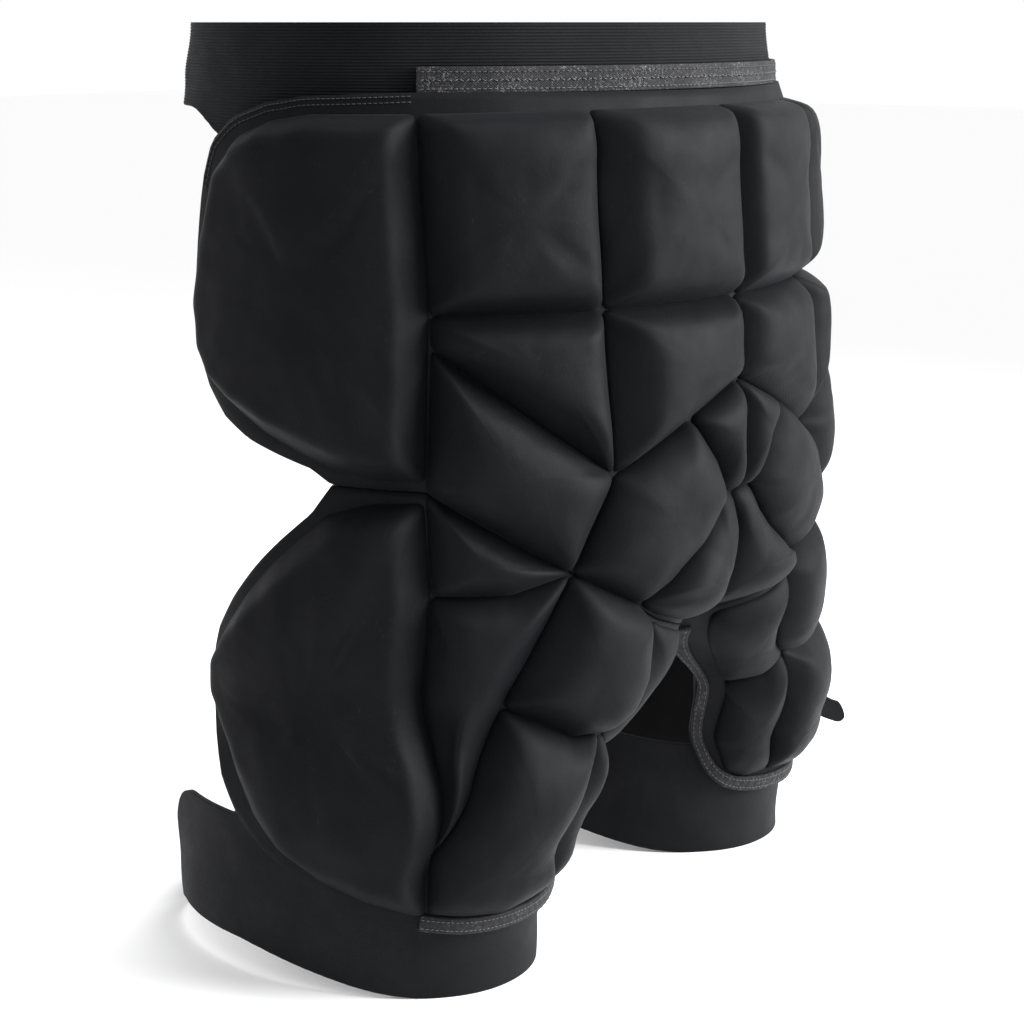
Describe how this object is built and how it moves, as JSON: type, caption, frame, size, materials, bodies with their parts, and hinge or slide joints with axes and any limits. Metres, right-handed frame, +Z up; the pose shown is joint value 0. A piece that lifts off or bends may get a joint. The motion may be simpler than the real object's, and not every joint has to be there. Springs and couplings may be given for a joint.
{
  "type": "padded impact shorts",
  "caption": "Open-fronted protective shorts: moulded foam pads on a laminate shell, elastic waistband and leg bands with hook-and-loop tabs, hinged at the thigh crease.",
  "frame": {"origin": "centre of the whole at floor level, under the leg bands", "axes": "+Z up the body, -Y the way the wearer faces, +X the wearer's left"},
  "size_m": [0.378, 0.2784, 0.404],
  "materials": {
    "shell_laminate": "satin",
    "pad_cover": "satin",
    "elastic_band": "matt ribbed",
    "binding_tape": "matt",
    "hook_and_loop": "matt"
  },
  "bodies": {
    "hip": {"hip_shell": "shell_laminate", "pad_arch_petal_left": "pad_cover", "pad_arch_petal_right": "pad_cover", "pad_crotch_left": "pad_cover", "pad_crotch_right": "pad_cover", "pad_diagonal_inner_left": "pad_cover", "pad_diagonal_inner_right": "pad_cover", "pad_diagonal_outer_left": "pad_cover", "pad_diagonal_outer_right": "pad_cover", "pad_hip_side_left": "pad_cover", "pad_hip_side_right": "pad_cover", "pad_mid_inner_left": "pad_cover", "pad_mid_inner_right": "pad_cover", "pad_mid_outer_left": "pad_cover", "pad_mid_outer_right": "pad_cover", "pad_rear_inner_left": "pad_cover", "pad_rear_inner_right": "pad_cover", "pad_rear_outer_left": "pad_cover", "pad_rear_outer_right": "pad_cover", "rear_seam_tape": "binding_tape", "waist_loop_patch": "hook_and_loop", "waistband": "elastic_band"},
    "waist_closure": {"waist_tab": "elastic_band", "waist_hook_patch": "hook_and_loop"},
    "thigh_left": {"leg_band_left": "elastic_band", "leg_loop_patch_left": "hook_and_loop", "pad_thigh_inner_lower_left": "pad_cover", "pad_thigh_inner_upper_left": "pad_cover", "pad_thigh_rear_lower_left": "pad_cover", "pad_thigh_rear_upper_left": "pad_cover", "pad_thigh_side_left": "pad_cover", "pad_thigh_taper_left": "pad_cover", "pad_thigh_wedge_left": "pad_cover", "thigh_binding_left": "binding_tape", "thigh_shell_left": "shell_laminate"},
    "thigh_right": {"leg_band_right": "elastic_band", "leg_loop_patch_right": "hook_and_loop", "pad_thigh_inner_lower_right": "pad_cover", "pad_thigh_inner_upper_right": "pad_cover", "pad_thigh_rear_lower_right": "pad_cover", "pad_thigh_rear_upper_right": "pad_cover", "pad_thigh_side_right": "pad_cover", "pad_thigh_taper_right": "pad_cover", "pad_thigh_wedge_right": "pad_cover", "strap_end_right": "binding_tape", "thigh_binding_right": "binding_tape", "thigh_shell_right": "shell_laminate"},
    "leg_closure_left": {"leg_tab_left": "elastic_band", "leg_hook_patch_left": "hook_and_loop"},
    "leg_closure_right": {"leg_tab_right": "elastic_band", "leg_hook_patch_right": "hook_and_loop"}
  },
  "joints": [
    {"name": "left_thigh_flex", "type": "hinge", "parent": "hip", "child": "thigh_left", "pos_m": [0.155, 0.03045, 0.22], "axis": [-1, 0, 0], "range_deg": [0, 35]},
    {"name": "right_thigh_flex", "type": "hinge", "parent": "hip", "child": "thigh_right", "pos_m": [-0.155, 0.03045, 0.22], "axis": [-1, 0, 0], "range_deg": [0, 35]},
    {"name": "waist_tab_open", "type": "hinge", "parent": "hip", "child": "waist_closure", "pos_m": [0.0547, -0.12515, 0.3865], "axis": [0, 0, 1], "range_deg": [0, 95]},
    {"name": "left_leg_tab_open", "type": "hinge", "parent": "thigh_left", "child": "leg_closure_left", "pos_m": [0.1228, -0.09505, 0.018], "axis": [0, 0, 1], "range_deg": [0, 95]},
    {"name": "right_leg_tab_open", "type": "hinge", "parent": "thigh_right", "child": "leg_closure_right", "pos_m": [-0.1228, -0.09505, 0.018], "axis": [0, 0, -1], "range_deg": [0, 95]}
  ]
}
